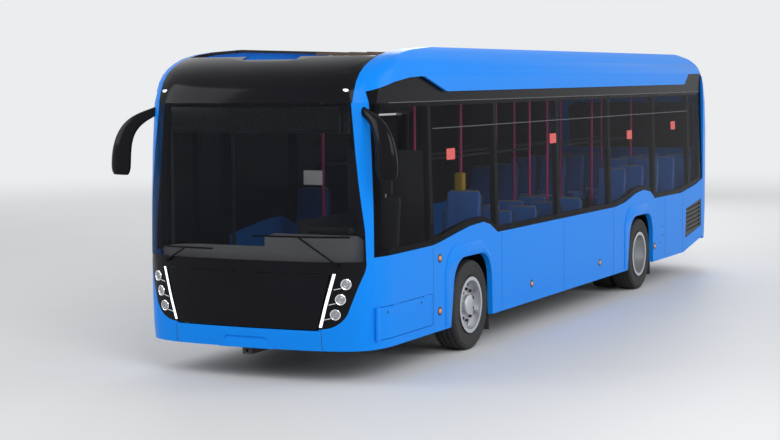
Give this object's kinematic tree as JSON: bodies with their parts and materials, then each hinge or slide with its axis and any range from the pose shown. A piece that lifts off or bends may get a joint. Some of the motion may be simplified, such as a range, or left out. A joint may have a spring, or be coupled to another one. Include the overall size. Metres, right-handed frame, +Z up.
{
  "type": "low-floor city bus",
  "caption": "Twelve metre low-floor battery electric city bus with steered front wheels, twin rear wheels, inward gliding doors, lids and a folding roof charging arm.",
  "frame": {"origin": "on the ground, midway along and across the bus", "axes": "+X to the bus's left, +Y from the front towards the rear, +Z up"},
  "size_m": [3.156, 12.0295, 3.19],
  "materials": {
    "floor_covering": "satin",
    "wheel_box_grey": "matte",
    "chassis_paint": "satin",
    "body_blue": "gloss",
    "band_black": "gloss",
    "tinted_glass": "gloss",
    "grille_black": "matte",
    "roof_white": "satin",
    "pack_grey": "satin",
    "unit_white": "satin",
    "front_black": "gloss",
    "windscreen_glass": "gloss",
    "lamp_clear": "gloss",
    "lamp_red": "gloss",
    "mirror_black": "matte",
    "wiper_black": "matte",
    "dash_grey": "matte",
    "seat_cloth_dark": "woven",
    "partition_grey": "matte",
    "seat_cloth_blue": "woven",
    "rail_magenta": "satin",
    "unit_grey": "cast",
    "axle_black": "painted",
    "gear_grey": "satin",
    "rim_silver": "brushed",
    "tyre": "matte",
    "wheel_black": "satin",
    "door_post_grey": "brushed",
    "door_black": "gloss",
    "contact_copper": "brushed",
    "lid_black": "gloss"
  },
  "bodies": {
    "body": {"floor": "floor_covering", "wheel_boxes": "wheel_box_grey", "chassis_frame": "chassis_paint", "left_side": "body_blue", "right_side": "body_blue", "left_window_frame": "band_black", "right_window_frame": "band_black", "side_glazing": "tinted_glass", "side_grille": "grille_black", "roof": "roof_white", "left_fairing": "body_blue", "right_fairing": "body_blue", "battery_packs": "pack_grey", "roof_unit": "unit_white", "front_corners": "body_blue", "front_bumper": "body_blue", "front_cowl": "front_black", "front_top_panel": "front_black", "windscreen": "windscreen_glass", "headlamps": "lamp_clear", "rear_shell": "body_blue", "rear_window": "tinted_glass", "tail_lamps": "lamp_red", "mirrors": "mirror_black", "wipers": "wiper_black", "dashboard": "dash_grey", "driver_seat": "seat_cloth_dark", "cab_partition": "partition_grey", "passenger_seats": "seat_cloth_blue", "handrails": "rail_magenta", "door_headers": "partition_grey", "power_unit": "unit_grey", "front_axle": "axle_black", "rear_axle": "axle_black", "pantograph_base": "gear_grey"},
    "left_knuckle_body": {"left_knuckle": "axle_black"},
    "front_left_wheel_body": {"front_left_wheel": "rim_silver", "front_left_tyre": "tyre"},
    "rear_left_wheel_body": {"rear_left_wheels": "rim_silver", "rear_left_tyres": "tyre"},
    "right_knuckle_body": {"right_knuckle": "axle_black"},
    "front_right_wheel_body": {"front_right_wheel": "rim_silver", "front_right_tyre": "tyre"},
    "rear_right_wheel_body": {"rear_right_wheels": "rim_silver", "rear_right_tyres": "tyre"},
    "steering_wheel_body": {"steering_wheel": "wheel_black"},
    "front_door_post_a_body": {"front_door_post_a": "door_post_grey"},
    "front_door_leaf_a_body": {"front_door_leaf_a": "door_black"},
    "front_door_post_b_body": {"front_door_post_b": "door_post_grey"},
    "front_door_leaf_b_body": {"front_door_leaf_b": "door_black"},
    "middle_door_post_a_body": {"middle_door_post_a": "door_post_grey"},
    "middle_door_leaf_a_body": {"middle_door_leaf_a": "door_black"},
    "middle_door_post_b_body": {"middle_door_post_b": "door_post_grey"},
    "middle_door_leaf_b_body": {"middle_door_leaf_b": "door_black"},
    "front_hatch_body": {"front_hatch": "front_black"},
    "rear_lid_body": {"rear_lid": "lid_black"},
    "service_flap_body": {"service_flap": "body_blue"},
    "pantograph_lower_body": {"pantograph_lower_arm": "gear_grey"},
    "pantograph_upper_body": {"pantograph_upper_arm": "gear_grey"},
    "pantograph_head_body": {"pantograph_head": "contact_copper"}
  },
  "joints": [
    {"name": "left_steering", "type": "hinge", "parent": "body", "child": "left_knuckle_body", "pos_m": [0.985, -3.35, 0.478], "axis": [0, 0, 1], "range_deg": [-42, 42]},
    {"name": "front_left_roll", "type": "hinge", "parent": "left_knuckle_body", "child": "front_left_wheel_body", "pos_m": [1.0985, -3.35, 0.478], "axis": [1, 0, 0], "continuous": true},
    {"name": "rear_left_roll", "type": "hinge", "parent": "body", "child": "rear_left_wheel_body", "pos_m": [0.95, 2.49, 0.478], "axis": [1, 0, 0], "continuous": true},
    {"name": "right_steering", "type": "hinge", "parent": "body", "child": "right_knuckle_body", "pos_m": [-0.985, -3.35, 0.478], "axis": [0, 0, 1], "range_deg": [-42, 42]},
    {"name": "front_right_roll", "type": "hinge", "parent": "right_knuckle_body", "child": "front_right_wheel_body", "pos_m": [-1.0985, -3.35, 0.478], "axis": [1, 0, 0], "continuous": true},
    {"name": "rear_right_roll", "type": "hinge", "parent": "body", "child": "rear_right_wheel_body", "pos_m": [-0.95, 2.49, 0.478], "axis": [1, 0, 0], "continuous": true},
    {"name": "steering_wheel_turn", "type": "hinge", "parent": "body", "child": "steering_wheel_body", "pos_m": [0.72, -5.31, 1.33], "axis": [0, 0.6157, 0.788], "range_deg": [-756, 756]},
    {"name": "front_door_post_a_turn", "type": "hinge", "parent": "body", "child": "front_door_post_a_body", "pos_m": [-1.161, -5.4, 1.4], "axis": [0, 0, -1], "range_deg": [0, 77]},
    {"name": "front_door_leaf_a_turn", "type": "hinge", "parent": "front_door_post_a_body", "child": "front_door_leaf_a_body", "pos_m": [-1.161, -5.1, 1.4], "axis": [0, 0, 1], "range_deg": [0, 154]},
    {"name": "front_door_post_b_turn", "type": "hinge", "parent": "body", "child": "front_door_post_b_body", "pos_m": [-1.161, -4.2, 1.4], "axis": [0, 0, 1], "range_deg": [0, 77]},
    {"name": "front_door_leaf_b_turn", "type": "hinge", "parent": "front_door_post_b_body", "child": "front_door_leaf_b_body", "pos_m": [-1.161, -4.5, 1.4], "axis": [0, 0, -1], "range_deg": [0, 154]},
    {"name": "middle_door_post_a_turn", "type": "hinge", "parent": "body", "child": "middle_door_post_a_body", "pos_m": [-1.161, -1, 1.4], "axis": [0, 0, -1], "range_deg": [0, 77]},
    {"name": "middle_door_leaf_a_turn", "type": "hinge", "parent": "middle_door_post_a_body", "child": "middle_door_leaf_a_body", "pos_m": [-1.161, -0.7, 1.4], "axis": [0, 0, 1], "range_deg": [0, 154]},
    {"name": "middle_door_post_b_turn", "type": "hinge", "parent": "body", "child": "middle_door_post_b_body", "pos_m": [-1.161, 0.2, 1.4], "axis": [0, 0, 1], "range_deg": [0, 77]},
    {"name": "middle_door_leaf_b_turn", "type": "hinge", "parent": "middle_door_post_b_body", "child": "middle_door_leaf_b_body", "pos_m": [-1.161, -0.1, 1.4], "axis": [0, 0, -1], "range_deg": [0, 154]},
    {"name": "front_hatch_hinge", "type": "hinge", "parent": "body", "child": "front_hatch_body", "pos_m": [0, -6, 1.055], "axis": [-1, 0, 0], "range_deg": [0, 75]},
    {"name": "rear_lid_hinge", "type": "hinge", "parent": "body", "child": "rear_lid_body", "pos_m": [0, 5.99938, 1.537], "axis": [1, 0, 0], "range_deg": [0, 80]},
    {"name": "service_flap_hinge", "type": "hinge", "parent": "body", "child": "service_flap_body", "pos_m": [1.275, -5.04, 0.717], "axis": [0, -1, 0], "range_deg": [0, 100]},
    {"name": "pantograph_lift", "type": "hinge", "parent": "body", "child": "pantograph_lower_body", "pos_m": [0, -3.35, 3.022], "axis": [-1, 0, 0], "range_deg": [0, 55]},
    {"name": "pantograph_elbow", "type": "hinge", "parent": "pantograph_lower_body", "child": "pantograph_upper_body", "pos_m": [0, -4.75, 3.044], "axis": [1, 0, 0], "range_deg": [0, 110]},
    {"name": "pantograph_level", "type": "hinge", "parent": "pantograph_upper_body", "child": "pantograph_head_body", "pos_m": [0, -3.45, 3.066], "axis": [-1, 0, 0], "range_deg": [0, 55]}
  ],
  "couplings": [
    {"joint": "right_steering", "follows": "left_steering", "ratio": 1},
    {"joint": "steering_wheel_turn", "follows": "left_steering", "ratio": 18},
    {"joint": "front_door_leaf_a_turn", "follows": "front_door_post_a_turn", "ratio": 2},
    {"joint": "front_door_post_b_turn", "follows": "front_door_post_a_turn", "ratio": 1},
    {"joint": "front_door_leaf_b_turn", "follows": "front_door_post_a_turn", "ratio": 2},
    {"joint": "middle_door_leaf_a_turn", "follows": "middle_door_post_a_turn", "ratio": 2},
    {"joint": "middle_door_post_b_turn", "follows": "middle_door_post_a_turn", "ratio": 1},
    {"joint": "middle_door_leaf_b_turn", "follows": "middle_door_post_a_turn", "ratio": 2},
    {"joint": "pantograph_elbow", "follows": "pantograph_lift", "ratio": 2},
    {"joint": "pantograph_level", "follows": "pantograph_lift", "ratio": 1}
  ]
}
